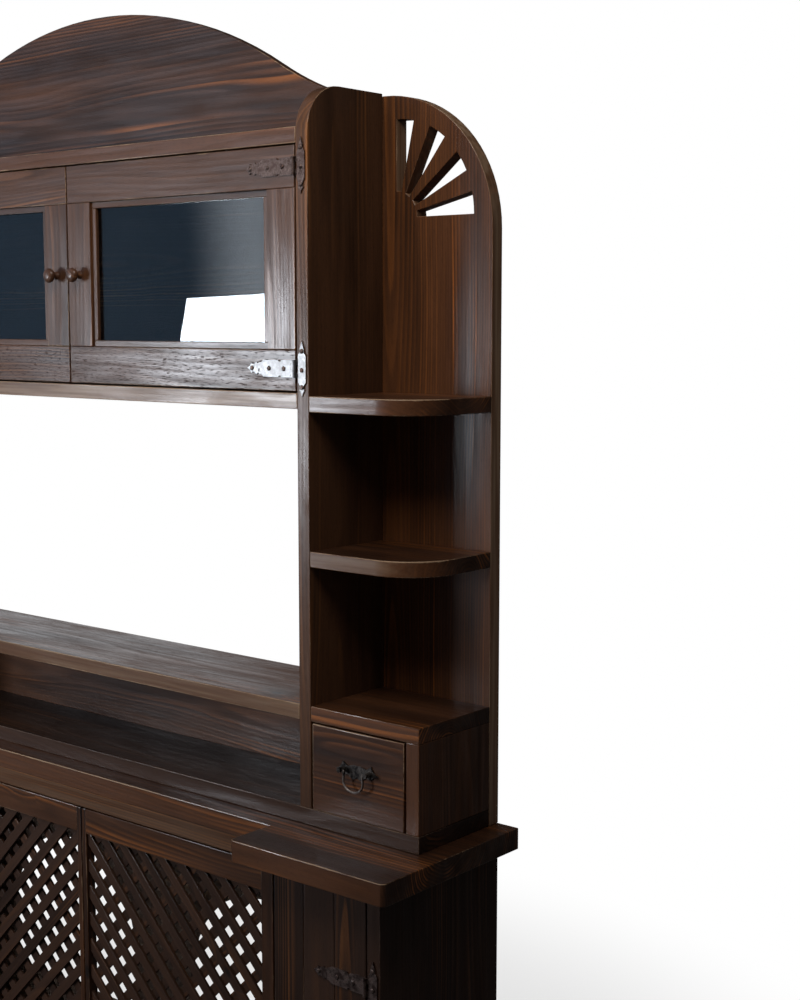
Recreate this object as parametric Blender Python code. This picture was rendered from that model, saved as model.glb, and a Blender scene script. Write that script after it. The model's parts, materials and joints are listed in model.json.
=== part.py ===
"""Rustic pine wall unit: a breakfront base cabinet under an open hutch.

The hutch has two shelf towers with a pierced fan, a glazed cabinet and a shaped crown.
Origin is the middle of the base on the floor, front faces -Y, up is +Z, metres.
"""
import math

import bmesh
import bpy

for old in list(bpy.data.objects):
    bpy.data.objects.remove(old, do_unlink=True)

# Boards and overall sizes
BOARD = 0.027
CLEAR_W = 1.206
TOWER_W = 0.240
UPRIGHT_D = 0.194
WING_OUT = 0.099
OVERHANG = 0.044
WING_LIP = 0.031

# Heights of the base, counted from the floor
COUNTER_H = 0.760
COUNTER_T = 0.038
PLINTH_H = 0.060
PLINTH_SET = 0.012
APRON_H = 0.054

# Heights of the hutch, counted from the counter
HUTCH_FLOOR_T = 0.030
CASE_H = 0.2125
LOW_SHELF_H = 0.482
HIGH_SHELF_H = 0.747
CABINET_H = 0.7515
CABINET_TOP_H = 1.196

# Heights of what rises above the cabinet's top
UPRIGHT_RISE = 0.071
CROWN_RISE = 0.257

# Clearances: glued joints, swinging doors, sliding drawer, turning pins
FIT = 0.0003
DOOR_GAP = 0.003
RUN = 0.003
PIN_PLAY = 0.0005

# Rounded corners
UPRIGHT_R = 0.080
SHELF_R = 0.095
COUNTER_R = 0.010

# Pierced fan: wood left beside, round and above it, its hub, and the board's round corner
FAN_SIDE = 0.032
FAN_RIM = 0.040
FAN_HEAD = 0.0465
FAN_HUB = 0.0455
FAN_SECTORS = 7
FAN_CORNER_IN = 0.005
FAN_TOP_DROP = 0.0045

# Crown outline: one large arc with a hollow flare at each end
CROWN_R = 0.962
FLARE_R = 0.649
FLARE_L = 0.113
CROWN_SET = 0.080
CROWN_T = 0.018

# Doors
DOOR_T = 0.022
GLASS_STILE = 0.066
GLASS_RAIL = 0.070
BEAD_W = 0.012
BEAD_SET = 0.005
BEAD_T = 0.007
GLASS_T = 0.003
LATTICE_STILE = 0.051
LATTICE_LIP = 0.012
SLAT_W = 0.020
SLAT_T = 0.006
SLAT_PITCH = 0.0391
SLAT_FRONT_START = 0.0080
SLAT_REAR_START = 0.0125
GROOVE = 0.003
PIVOT_IN = 0.012
PIVOT_BACK = 0.007
PIVOT_R = 0.0035
PIVOT_L = 0.012
KNOB_R = 0.014

# Strap hinges
LEAF_T = 0.0022
STRAP_L = 0.115
STRAP_HALF = 0.0145
PLATE_HALF_W = 0.0088
PLATE_HALF_H = 0.0465
BARREL_R = 0.0035
BARREL_L = 0.031
BARREL_OUT = 0.001
BARREL_CLEAR = 0.0015
EYE_SHARE = 0.38
HINGE_PIN_R = 0.0015
HINGE_DROP = 0.200
HINGE_RISE = 0.003

# Drawers and their pulls
DRAWER_FRONT_T = 0.018
DRAWER_WALL = 0.010
PULL_W = 0.096
PULL_T = 0.002
POST_R = 0.0045
POST_OUT = 0.014
BAIL_R = 0.002
BAIL_DROP = 0.0345
BAIL_BEND = 2.0
BAIL_BELLY = 1.08
BAIL_DEEP = 0.8
PULL_RISE = 0.011

# Thin back panels and the arches in the base's back
PANEL_T = 0.012
ARCH_R = 0.215
ARCH_DROP = 0.237

# Planes that follow from the sizes above
HALF = CLEAR_W / 2
UP_X = HALF + BOARD
SIDE_X = UP_X + TOWER_W
COUNTER_X = SIDE_X + OVERHANG
DEPTH = BOARD + UPRIGHT_D + WING_OUT + OVERHANG
Y_BACK = DEPTH / 2
Y_FACE = Y_BACK - BOARD
Y_FRONT = Y_FACE - UPRIGHT_D
Y_WING = Y_FRONT - WING_OUT
UNDER = COUNTER_H - COUNTER_T
FLOOR_TOP = PLINTH_H + BOARD
HUTCH_FLOOR = COUNTER_H + HUTCH_FLOOR_T
CASE_TOP = COUNTER_H + CASE_H
LOW_SHELF = COUNTER_H + LOW_SHELF_H
HIGH_SHELF = COUNTER_H + HIGH_SHELF_H
CABINET_FLOOR = COUNTER_H + CABINET_H
CABINET_TOP = COUNTER_H + CABINET_TOP_H
UPRIGHT_TOP = CABINET_TOP + UPRIGHT_RISE

PINE = (0.075, 0.036, 0.019)
PALE_PINE = (0.150, 0.075, 0.038)
IRON = (0.060, 0.055, 0.052)
TIN = (0.240, 0.225, 0.205)
CLEAR_GLASS = (0.550, 0.640, 0.660)


def material(name, colour, rough, metal=0.0):
    mat = bpy.data.materials.new(name)
    mat.use_nodes = True
    shader = mat.node_tree.nodes["Principled BSDF"]
    shader.inputs["Base Color"].default_value = (*colour, 1.0)
    shader.inputs["Roughness"].default_value = rough
    shader.inputs["Metallic"].default_value = metal
    return mat


def look_of(colour):
    if colour in (IRON, TIN):
        return 0.45, 1.0
    if colour == CLEAR_GLASS:
        return 0.05, 0.0
    return 0.40, 0.0


def finish(bm, name, colour, pivot=(0.0, 0.0, 0.0)):
    """Turns a bmesh into an object whose origin is the pivot."""
    bmesh.ops.recalc_face_normals(bm, faces=bm.faces)
    bmesh.ops.translate(bm, vec=[-c for c in pivot], verts=bm.verts)
    mesh = bpy.data.meshes.new(name)
    bm.to_mesh(mesh)
    bm.free()
    mesh.materials.append(material(name, colour, *look_of(colour)))
    obj = bpy.data.objects.new(name, mesh)
    obj.location = pivot
    bpy.context.collection.objects.link(obj)
    return obj


def tool(bm, name):
    """Makes a hidden body for a Boolean."""
    obj = finish(bm, name, PINE)
    obj.hide_render = True
    obj.display_type = "WIRE"
    return obj


def combine(obj, other, operation):
    mod = obj.modifiers.new(other.name, "BOOLEAN")
    mod.operation = operation
    mod.solver = "EXACT"
    mod.object = other


def add_slab(bm, outline, axis, lo, hi):
    """Extrudes an outline; axis x takes (y, z), axis y takes (x, z), axis z takes (x, y)."""
    ends = []
    for w in (lo, hi):
        spots = {"x": [(w, u, v) for u, v in outline],
                 "y": [(u, w, v) for u, v in outline],
                 "z": [(u, v, w) for u, v in outline]}[axis]
        ends.append([bm.verts.new(p) for p in spots])
    bm.faces.new(ends[0])
    bm.faces.new(reversed(ends[1]))
    for i in range(len(outline)):
        bm.faces.new((ends[0][i], ends[0][i - 1], ends[1][i - 1], ends[1][i]))


def add_box(bm, x, y, z):
    add_slab(bm, [(x[0], y[0]), (x[1], y[0]), (x[1], y[1]), (x[0], y[1])], "z", z[0], z[1])


def slab(name, outline, axis, lo, hi, colour=PINE, pivot=(0.0, 0.0, 0.0)):
    bm = bmesh.new()
    add_slab(bm, outline, axis, lo, hi)
    return finish(bm, name, colour, pivot)


def board(name, x, y, z, colour=PINE, pivot=(0.0, 0.0, 0.0)):
    bm = bmesh.new()
    add_box(bm, x, y, z)
    return finish(bm, name, colour, pivot)


def span(side, inner, outer):
    """The X limits of something between two distances from the middle."""
    return sorted((side * inner, side * outer))


def arc(cx, cy, r, start, stop, steps):
    angles = [math.radians(start + (stop - start) * i / steps) for i in range(steps + 1)]
    return [(cx + r * math.cos(a), cy + r * math.sin(a)) for a in angles]


def rounded(corners, steps=8):
    """Fillets a polygon given as (u, v, radius)."""
    out = []
    count = len(corners)
    for i, (u, v, r) in enumerate(corners):
        if r == 0:
            out.append((u, v))
            continue
        before = corners[i - 1]
        after = corners[(i + 1) % count]
        a = math.atan2(before[1] - v, before[0] - u)
        b = math.atan2(after[1] - v, after[0] - u)
        turn = (b - a + math.pi) % (2 * math.pi) - math.pi
        reach = r / math.sin(abs(turn) / 2)
        cu = u + reach * math.cos(a + turn / 2)
        cv = v + reach * math.sin(a + turn / 2)
        sign = 1 if turn > 0 else -1
        first = math.degrees(a) - sign * 90
        sweep = -sign * (180 - math.degrees(abs(turn)))
        out += arc(cu, cv, r, first, first + sweep, steps)
    return out


def swell(points, steps=4):
    """Joins points given as (u, v, bulge) by arcs; bulge is the rise over half the chord."""
    out = []
    for (u, v, bulge), (p, q, _) in zip(points, points[1:]):
        out.append((u, v))
        if bulge:
            for i in range(1, steps):
                t = i / steps
                rise = bulge * 2 * t * (1 - t)
                out.append((u + (p - u) * t - (q - v) * rise, v + (q - v) * t + (p - u) * rise))
    out.append(points[-1][:2])
    return out


def mirrored(half, axis):
    """Adds the mirror image of an outline's half; axis 0 mirrors u and axis 1 mirrors v."""
    back = [(-u, v) if axis == 0 else (u, -v) for u, v in reversed(half)]
    return half + [p for p in back if abs(p[axis]) > FIT / 10]


def add_ring(bm, x, z, profile, narrow=(0.0, 0.0)):
    """A frame: the profile is a closed list of (inset, y), and each stile can be narrower."""
    rows = []
    for i, j, sx, sz in ((0, 0, 1, 1), (1, 0, -1, 1), (1, 1, -1, -1), (0, 1, 1, -1)):
        across = [max(inset - narrow[i], 0) for inset, _ in profile]
        rows.append([bm.verts.new((x[i] + sx * a, y, z[j] + sz * inset))
                     for a, (inset, y) in zip(across, profile)])
    for c in range(4):
        for k in range(len(profile)):
            bm.faces.new((rows[c][k], rows[c - 1][k], rows[c - 1][k - 1], rows[c][k - 1]))


def add_drum(bm, axis, centre, r, lo, hi, sides=12):
    add_slab(bm, arc(centre[0], centre[1], r, 0, 360 - 360 / sides, sides - 1), axis, lo, hi)


def skin(bm, rows):
    """Joins rings of points into a closed skin."""
    bm.faces.new(rows[0])
    bm.faces.new(rows[-1])
    for low, high in zip(rows, rows[1:]):
        for i in range(len(low)):
            bm.faces.new((low[i], low[i - 1], high[i - 1], high[i]))


def add_knob(bm, x, y, z):
    """A turned wooden knob that stands out of a front face at y."""
    profile = [(0.55, -0.20), (0.55, 0.15), (0.42, 0.60), (0.80, 0.95),
               (1.0, 1.35), (0.80, 1.75), (0.35, 1.9)]
    rows = []
    for r, out in profile:
        ring = arc(x, z, r * KNOB_R, 0, 330, 11)
        rows.append([bm.verts.new((u, y - out * KNOB_R, v)) for u, v in ring])
    skin(bm, rows)


def add_rod(bm, path, y, r, sides=8):
    """A round rod along a flat path of (x, z) at depth y."""
    rows = []
    for i, (u, v) in enumerate(path):
        a = path[max(i - 1, 0)]
        b = path[min(i + 1, len(path) - 1)]
        heading = math.atan2(b[1] - a[1], b[0] - a[0])
        row = []
        for t in range(sides):
            turn = 2 * math.pi * (t + 0.5) / sides
            off = r * math.cos(turn)
            spot = (u - off * math.sin(heading), y + r * math.sin(turn), v + off * math.cos(heading))
            row.append(bm.verts.new(spot))
        rows.append(row)
    skin(bm, rows)


def clip(polygon, nu, nv, limit):
    """Keeps the part of a polygon where nu*u + nv*v is at most limit."""
    out = []
    for i, p in enumerate(polygon):
        q = polygon[i - 1]
        dp = nu * p[0] + nv * p[1] - limit
        dq = nu * q[0] + nv * q[1] - limit
        if dp * dq < 0:
            t = dq / (dq - dp)
            out.append((q[0] + (p[0] - q[0]) * t, q[1] + (p[1] - q[1]) * t))
        if dp <= 0:
            out.append(p)
    return out


# Hutch floor, standing on the counter from tower to tower
board("hutch_floor", (-SIDE_X, SIDE_X), (Y_FRONT, Y_FACE - FIT), (COUNTER_H + FIT, HUTCH_FLOOR))

# Towers: upright, pierced back board, two corner shelves and the drawer case
for side, tag in ((1, "right"), (-1, "left")):
    profile = rounded([(Y_FACE - FIT, HUTCH_FLOOR + FIT, 0), (Y_FRONT, HUTCH_FLOOR + FIT, 0),
                       (Y_FRONT, UPRIGHT_TOP, UPRIGHT_R), (Y_FACE - FIT, UPRIGHT_TOP, 0)], 10)
    slab(tag + "_upright", profile, "x", *span(side, HALF, UP_X))

    head = UPRIGHT_TOP - FAN_TOP_DROP
    outline = rounded([(side * HALF, COUNTER_H + FIT, 0), (side * SIDE_X, COUNTER_H + FIT, 0),
                       (side * SIDE_X, head, TOWER_W - FAN_CORNER_IN), (side * HALF, head, 0)], 20)
    fan_board = slab(tag + "_fan_board", outline, "y", Y_FACE, Y_BACK)
    cutters = bmesh.new()
    fan_r = TOWER_W - FAN_SIDE - FAN_RIM
    fan_x = UP_X + FAN_SIDE
    fan_z = UPRIGHT_TOP - FAN_HEAD - fan_r
    sector = 90 / FAN_SECTORS
    for wedge in range(0, FAN_SECTORS, 2):
        rim = arc(fan_x, fan_z, fan_r, wedge * sector, (wedge + 1) * sector, 3)
        hub = arc(fan_x, fan_z, FAN_HUB, (wedge + 1) * sector, wedge * sector, 2)
        add_slab(cutters, [(side * u, v) for u, v in rim + hub], "y", Y_FACE - BOARD, Y_BACK + BOARD)
    combine(fan_board, tool(cutters, tag + "_fan_cutter"), "DIFFERENCE")

    near, far = side * (UP_X + FIT), side * SIDE_X
    plan = rounded([(near, Y_FACE - FIT, 0), (near, Y_FRONT, 0),
                    (far, Y_FRONT, SHELF_R), (far, Y_FACE - FIT, 0)], 12)
    slab(tag + "_low_shelf", plan, "z", LOW_SHELF - BOARD, LOW_SHELF)
    slab(tag + "_high_shelf", plan, "z", HIGH_SHELF - BOARD, HIGH_SHELF)

    inside = side * (SIDE_X - BOARD)
    case = [(near, CASE_TOP), (far, CASE_TOP), (far, HUTCH_FLOOR + FIT), (inside, HUTCH_FLOOR + FIT),
            (inside, CASE_TOP - BOARD), (near, CASE_TOP - BOARD)]
    slab(tag + "_drawer_case", case, "y", Y_FRONT, Y_FACE - FIT)

# Boards between the uprights
INNER = (-HALF + FIT, HALF - FIT)
board("middle_shelf", INNER, (Y_FRONT, Y_BACK), (CASE_TOP - BOARD, CASE_TOP))
board("cubby_back", INNER, (Y_FACE, Y_BACK), (COUNTER_H + FIT, CASE_TOP - BOARD - FIT))
board("cabinet_floor", INNER, (Y_FRONT, Y_BACK), (CABINET_FLOOR - BOARD, CABINET_FLOOR))
board("cabinet_top", INNER, (Y_FRONT, Y_BACK), (CABINET_TOP - BOARD, CABINET_TOP))
board("cabinet_back", INNER, (Y_BACK - PANEL_T, Y_BACK),
      (CABINET_FLOOR + FIT, CABINET_TOP - BOARD - FIT), PALE_PINE)

# Crown, set back on the cabinet top
start = HALF - FIT - FLARE_L
peak = CABINET_TOP + CROWN_RISE
edge = [(u, peak - CROWN_R + math.sqrt(CROWN_R ** 2 - u ** 2)) for u in [start * i / 14 for i in range(15)]]
lean = start / CROWN_R
for i in range(1, 7):
    ahead = FLARE_L * i / 6
    drop = FLARE_R * (math.sqrt(1 - (lean - ahead / FLARE_R) ** 2) - math.sqrt(1 - lean ** 2))
    edge.append((start + ahead, edge[14][1] - drop))
edge.append((HALF - FIT, CABINET_TOP + FIT))
CROWN_Y = Y_FRONT + CROWN_SET
slab("crown", mirrored(edge, 0), "y", CROWN_Y, CROWN_Y + CROWN_T)

# Counter: one glued-up top that steps forward over the wings
lip = HALF - WING_LIP
step = Y_FRONT - OVERHANG
top = []
for side in (1, -1):
    part = [(side * COUNTER_X, Y_BACK, 0), (side * COUNTER_X, Y_WING - OVERHANG, COUNTER_R),
            (side * lip, Y_WING - OVERHANG, COUNTER_R), (side * lip, step, 0)]
    top += part if side == 1 else part[::-1]
slab("counter", rounded(top, 4), "z", UNDER, COUNTER_H)

# Base carcass
BACK_IN = Y_BACK - PANEL_T - FIT
for side, tag in ((1, "right"), (-1, "left")):
    board(tag + "_base_side", span(side, SIDE_X - BOARD, SIDE_X), (Y_WING, Y_BACK), (0, UNDER - FIT))
    board(tag + "_divider", span(side, HALF, UP_X), (Y_WING, BACK_IN), (FLOOR_TOP + FIT, UNDER - FIT))

INSIDE_X = SIDE_X - BOARD - FIT
floor_plan = [(-INSIDE_X, Y_BACK), (-INSIDE_X, Y_WING), (-HALF, Y_WING), (-HALF, Y_FRONT),
              (HALF, Y_FRONT), (HALF, Y_WING), (INSIDE_X, Y_WING), (INSIDE_X, Y_BACK)]
base_floor = slab("base_floor", floor_plan, "z", PLINTH_H, FLOOR_TOP)
toe = PLINTH_SET
plinth_plan = [(-INSIDE_X, Y_WING + toe), (-HALF - toe, Y_WING + toe), (-HALF - toe, Y_FRONT + toe),
               (HALF + toe, Y_FRONT + toe), (HALF + toe, Y_WING + toe), (INSIDE_X, Y_WING + toe),
               (INSIDE_X, Y_WING + toe + BOARD), (UP_X + toe, Y_WING + toe + BOARD),
               (UP_X + toe, Y_FRONT + toe + BOARD), (-UP_X - toe, Y_FRONT + toe + BOARD),
               (-UP_X - toe, Y_WING + toe + BOARD), (-INSIDE_X, Y_WING + toe + BOARD)]
slab("plinth", plinth_plan, "z", 0, PLINTH_H - FIT)
apron = board("apron", INNER, (Y_FRONT, Y_FRONT + BOARD), (UNDER - APRON_H, UNDER - FIT))

base_back = board("base_back", (-INSIDE_X, INSIDE_X), (Y_BACK - PANEL_T, Y_BACK),
                  (FLOOR_TOP + FIT, UNDER - FIT), PALE_PINE)
arches = bmesh.new()
for side in (1, -1):
    middle = side * HALF / 2
    spring = UNDER - ARCH_DROP - ARCH_R
    opening = arc(middle, spring, ARCH_R, 0, 180, 16)
    opening += [(middle - ARCH_R, FLOOR_TOP + APRON_H), (middle + ARCH_R, FLOOR_TOP + APRON_H)]
    add_slab(arches, opening, "y", Y_BACK - 2 * PANEL_T, Y_BACK + PANEL_T)
combine(base_back, tool(arches, "arch_cutter"), "DIFFERENCE")


def strap_hinge(name, side, axis_x, front_y, z):
    """Two leaves: the plate with the outer knuckles and the pin, and the strap that turns on it."""
    leaf = (front_y - FIT - LEAF_T, front_y - FIT)
    barrel_y = front_y - BARREL_R - BARREL_OUT
    bare = BARREL_R + BARREL_CLEAR
    mid = BARREL_L * EYE_SHARE / 2
    pivot = (axis_x, barrel_y, z)

    def knuckle(bm, way, reach, lo, hi):
        low = leaf[0] + FIT / 2
        meet = math.degrees(math.asin((low - barrel_y) / BARREL_R))
        shape = arc(0, barrel_y, BARREL_R, 90, 360 + meet, 12)
        shape += [(reach, low), (reach, leaf[1] - FIT)]
        add_slab(bm, [(axis_x + way * u, v) for u, v in shape], "z", lo, hi)

    h = PLATE_HALF_W
    v = PLATE_HALF_H
    half = swell([(0, v, 0), (0.5 * h, 0.72 * v, 0), (0.55 * h, 0.60 * v, 0), (h, 0.48 * v, 0),
                  (h, -0.48 * v, 0), (0.6 * h, -0.58 * v, -0.4), (0.62 * h, -0.78 * v, -0.2), (0, -v, 0)])
    offset = DOOR_GAP / 2 + BOARD / 2
    middle = axis_x + side * offset
    bm = bmesh.new()
    add_slab(bm, [(middle + p, z + q) for p, q in mirrored(half, 0)], "y", *leaf)
    plate = finish(bm, name + "_plate", TIN)
    bm = bmesh.new()
    leg = offset - h + LEAF_T
    knuckle(bm, side, leg, z + mid + FIT, z + BARREL_L / 2)
    knuckle(bm, side, leg, z - BARREL_L / 2, z - mid - FIT)
    combine(plate, tool(bm, name + "_knuckles"), "UNION")
    bm = bmesh.new()
    add_drum(bm, "z", (axis_x, barrel_y), HINGE_PIN_R, z - BARREL_L / 2 + FIT, z + BARREL_L / 2 - FIT)
    combine(plate, tool(bm, name + "_pin"), "UNION")

    s = STRAP_HALF
    n = STRAP_L
    half = swell([(bare, s, 0), (0.29 * n, s, -0.4), (0.318 * n, 0.80 * s, -0.4), (0.35 * n, s, 0),
                  (0.66 * n, s, -0.3), (0.735 * n, 0.70 * s, -0.5), (0.805 * n, 0.73 * s, 0),
                  (0.83 * n, 0.57 * s, -0.4), (0.91 * n, 0.60 * s, -0.2), (n, 0, 0)])
    bm = bmesh.new()
    add_slab(bm, [(axis_x - side * p, z + q) for p, q in mirrored(half, 1)], "y", *leaf)
    strap = finish(bm, name + "_strap", TIN, pivot)
    bm = bmesh.new()
    knuckle(bm, -side, bare + LEAF_T, z - mid, z + mid)
    combine(strap, tool(bm, name + "_eye"), "UNION")
    bm = bmesh.new()
    add_drum(bm, "z", (axis_x, barrel_y), HINGE_PIN_R + PIN_PLAY, z - BARREL_L, z + BARREL_L, 16)
    combine(strap, tool(bm, name + "_bore"), "DIFFERENCE")
    return pivot


def knob_on(door, x, y, z):
    bm = bmesh.new()
    add_knob(bm, x, y, z)
    combine(door, tool(bm, door.name + "_knob"), "UNION")


for side, tag in ((1, "right"), (-1, "left")):
    # Glazed door: mitred frame with a sunk bead, a pane behind the bead, two strap hinges
    x = span(side, DOOR_GAP / 2, HALF - DOOR_GAP)
    z = (CABINET_FLOOR + DOOR_GAP, CABINET_TOP - BOARD - DOOR_GAP)
    rail = GLASS_RAIL / 2
    for where, level in (("high", z[1] - rail), ("low", z[0] + rail + HINGE_RISE)):
        pivot = strap_hinge(tag + "_glass_" + where, side, side * (HALF - DOOR_GAP / 2), Y_FRONT, level)
    inner = GLASS_RAIL + BEAD_W
    bead = (Y_FRONT + BEAD_SET, Y_FRONT + BEAD_SET + BEAD_T)
    door_back = Y_FRONT + DOOR_T
    profile = [(0, Y_FRONT), (GLASS_RAIL, Y_FRONT), (GLASS_RAIL, bead[0]), (inner, bead[0]),
               (inner, bead[1]), (GLASS_RAIL, bead[1]), (GLASS_RAIL, door_back), (0, door_back)]
    bm = bmesh.new()
    add_ring(bm, x, z, profile, (GLASS_RAIL - GLASS_STILE, GLASS_RAIL - GLASS_STILE))
    frame = finish(bm, tag + "_glass_door", PINE, pivot)
    knob_on(frame, side * (DOOR_GAP + GLASS_STILE) / 2, Y_FRONT, (z[0] + z[1]) / 2)
    wide = GLASS_STILE + FIT
    tall = GLASS_RAIL + FIT
    board(tag + "_pane", (x[0] + wide, x[1] - wide), (bead[1] + FIT, bead[1] + FIT + GLASS_T),
          (z[0] + tall, z[1] - tall), CLEAR_GLASS, pivot)

    # Wing door: planks with V grooves and two ledges, hung on the outer side
    inner_edge = UP_X + DOOR_GAP
    outer_edge = SIDE_X - BOARD - DOOR_GAP
    z = (FLOOR_TOP + DOOR_GAP, UNDER - DOOR_GAP)
    for where, level in (("high", COUNTER_H - HINGE_DROP), ("low", FLOOR_TOP + HINGE_DROP - COUNTER_T)):
        pivot = strap_hinge(tag + "_wing_" + where, side, side * (outer_edge + DOOR_GAP / 2), Y_WING, level)
    plan = [(inner_edge, Y_WING + DOOR_T), (inner_edge, Y_WING)]
    for third in (1, 2):
        seam = inner_edge + (outer_edge - inner_edge) * third / 3
        plan += [(seam - GROOVE, Y_WING), (seam, Y_WING + GROOVE), (seam + GROOVE, Y_WING)]
    plan += [(outer_edge, Y_WING), (outer_edge, Y_WING + DOOR_T)]
    door = slab(tag + "_wing_door", [(side * u, v) for u, v in plan], "z", *z, pivot=pivot)
    ledges = bmesh.new()
    for level in (z[0] + 3 * BOARD, z[1] - 5 * BOARD):
        add_box(ledges, span(side, inner_edge + BOARD, outer_edge - BOARD),
                (Y_WING + DOOR_T - FIT, Y_WING + 2 * DOOR_T), (level, level + 2 * BOARD))
    combine(door, tool(ledges, tag + "_wing_ledges"), "UNION")
    knob_on(door, side * (inner_edge + BOARD), Y_WING, (z[0] + z[1]) / 2)

    # Lattice door: frame on two wooden pintles, a slim lip where the doors meet, crossed slats
    x = span(side, DOOR_GAP / 2, HALF - DOOR_GAP)
    z = (FLOOR_TOP + DOOR_GAP, UNDER - APRON_H - DOOR_GAP)
    hinge_x = side * (HALF - DOOR_GAP - PIVOT_IN)
    hinge_y = Y_FRONT + PIVOT_BACK
    pivot = (hinge_x, hinge_y, z[0])
    m = LATTICE_STILE
    bm = bmesh.new()
    slim = (m - LATTICE_LIP, 0.0)
    add_ring(bm, x, z, [(0, Y_FRONT), (m, Y_FRONT), (m, Y_FRONT + DOOR_T), (0, Y_FRONT + DOOR_T)],
             slim[::side])
    frame = finish(bm, tag + "_lattice_door", PINE, pivot)
    pintles = bmesh.new()
    sockets = bmesh.new()
    reach = DOOR_GAP + PIVOT_L
    for lo, hi in ((z[0] - reach, z[0] + PIVOT_L), (z[1] - PIVOT_L, z[1] + reach)):
        add_drum(pintles, "z", (hinge_x, hinge_y), PIVOT_R, lo, hi)
        add_drum(sockets, "z", (hinge_x, hinge_y), PIVOT_R + PIN_PLAY, lo - FIT, hi + FIT, 16)
    combine(frame, tool(pintles, tag + "_pintles"), "UNION")
    hole = tool(sockets, tag + "_sockets")
    combine(base_floor, hole, "DIFFERENCE")
    combine(apron, hole, "DIFFERENCE")

    bay = span(side, DOOR_GAP / 2 + LATTICE_LIP + FIT, HALF - DOOR_GAP - m - FIT)
    tall = (z[0] + m + FIT, z[1] - m - FIT)
    y = Y_FRONT + (DOOR_T - 2 * SLAT_T) / 2
    rim_w = SLAT_T
    bm = bmesh.new()
    add_ring(bm, bay, tall,
             [(0, y - FIT), (rim_w, y - FIT), (rim_w, y + 2 * SLAT_T), (0, y + 2 * SLAT_T)])
    lattice = finish(bm, tag + "_lattice", PINE, pivot)
    keep = rim_w / 2
    field = [(bay[0] + keep, tall[0] + keep), (bay[1] - keep, tall[0] + keep),
             (bay[1] - keep, tall[1] - keep), (bay[0] + keep, tall[1] - keep)]
    for layer, lean, start in ((0, side, SLAT_FRONT_START), (1, -side, SLAT_REAR_START)):
        slats = bmesh.new()
        nu = lean * math.sqrt(0.5)
        nv = math.sqrt(0.5)
        reach = [(nu * u + nv * v - start) / SLAT_PITCH for u, v in field]
        for k in range(math.ceil(min(reach)), math.floor(max(reach)) + 1):
            centre = start + k * SLAT_PITCH
            strip = clip(field, nu, nv, centre + SLAT_W / 2)
            strip = clip(strip, -nu, -nv, SLAT_W / 2 - centre)
            add_slab(slats, strip, "y", y + layer * (SLAT_T - FIT), y + SLAT_T + layer * (SLAT_T - 2 * FIT))
        combine(lattice, tool(slats, tag + "_slats_" + str(layer)), "UNION")

    # Drawer: front, box that runs on the hutch floor, iron plate with posts, hanging bail
    x = (UP_X + FIT + RUN, SIDE_X - BOARD - RUN)
    z = (HUTCH_FLOOR + FIT, CASE_TOP - BOARD - RUN)
    back = Y_FRONT + DRAWER_FRONT_T
    pivot = (side * sum(x) / 2, Y_FRONT, z[0])
    board(tag + "_drawer_front", span(side, *x), (Y_FRONT, back), z, PINE, pivot)
    box = (back + FIT, Y_FACE - 3 * RUN)
    w = DRAWER_WALL
    box_top = z[1] - BOARD

    def loop(inset, height):
        u = (x[0] + inset, x[1] - inset)
        v = (box[0] + inset, box[1] - inset)
        corners = ((u[0], v[0]), (u[1], v[0]), (u[1], v[1]), (u[0], v[1]))
        return [bm.verts.new((side * p, q, height)) for p, q in corners]

    bm = bmesh.new()
    low = loop(0, z[0])
    rim = loop(0, box_top)
    lip_in = loop(w, box_top)
    well = loop(w, z[0] + w)
    bm.faces.new(low)
    bm.faces.new(well)
    for i in range(4):
        bm.faces.new((low[i], low[i - 1], rim[i - 1], rim[i]))
        bm.faces.new((rim[i], rim[i - 1], lip_in[i - 1], lip_in[i]))
        bm.faces.new((lip_in[i], lip_in[i - 1], well[i - 1], well[i]))
    finish(bm, tag + "_drawer_box", PALE_PINE, pivot)

    px = side * sum(x) / 2
    pz = (z[0] + z[1]) / 2 + PULL_RISE
    p = PULL_W / 2
    half = swell([(0, 0.18 * p, 0.15), (0.42 * p, 0.12 * p, 0), (0.66 * p, 0.27 * p, -0.3),
                  (p, -0.04 * p, -0.3), (0.68 * p, -0.20 * p, 0.3), (0.48 * p, -0.17 * p, -0.3),
                  (0.26 * p, -0.31 * p, 0.3), (0, -0.21 * p, 0)])
    plate_y = Y_FRONT - FIT
    plate = slab(tag + "_pull_plate", [(px + u, pz + v) for u, v in mirrored(half, 0)], "y",
                 plate_y - PULL_T, plate_y, IRON, (px, plate_y, pz))
    post_x = 0.60 * p
    tip = plate_y - PULL_T - POST_OUT
    eye_y = tip + POST_R
    posts = bmesh.new()
    for way in (-1, 1):
        add_drum(posts, "y", (px + way * post_x, pz), POST_R, tip, plate_y - FIT)
    combine(plate, tool(posts, tag + "_posts"), "UNION")
    eyes = bmesh.new()
    add_drum(eyes, "x", (eye_y, pz), BAIL_R + PIN_PLAY, px - p, px + p, 16)
    combine(plate, tool(eyes, tag + "_eyes"), "DIFFERENCE")
    bend = BAIL_BEND * BAIL_R
    arm = post_x - POST_R - bend
    belly = arm * BAIL_BELLY
    half_path = [(post_x + POST_R / 2, 0)] + arc(arm + bend, -bend, bend, 90, 180, 4)
    half_path += [(belly * u, v * belly * BAIL_DEEP - BAIL_DROP + belly * BAIL_DEEP)
                  for u, v in arc(0, 0, 1, 0, -90, 6)]
    bm = bmesh.new()
    add_rod(bm, [(px + u, pz + v) for u, v in mirrored(half_path, 0)], eye_y, BAIL_R)
    bmesh.ops.triangulate(bm, faces=bm.faces)
    finish(bm, tag + "_bail", IRON, (px, eye_y, pz))
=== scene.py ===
"""Dark-stained pine wall unit: the finish of every board, door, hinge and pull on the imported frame."""
import json
import math
import random

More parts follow.
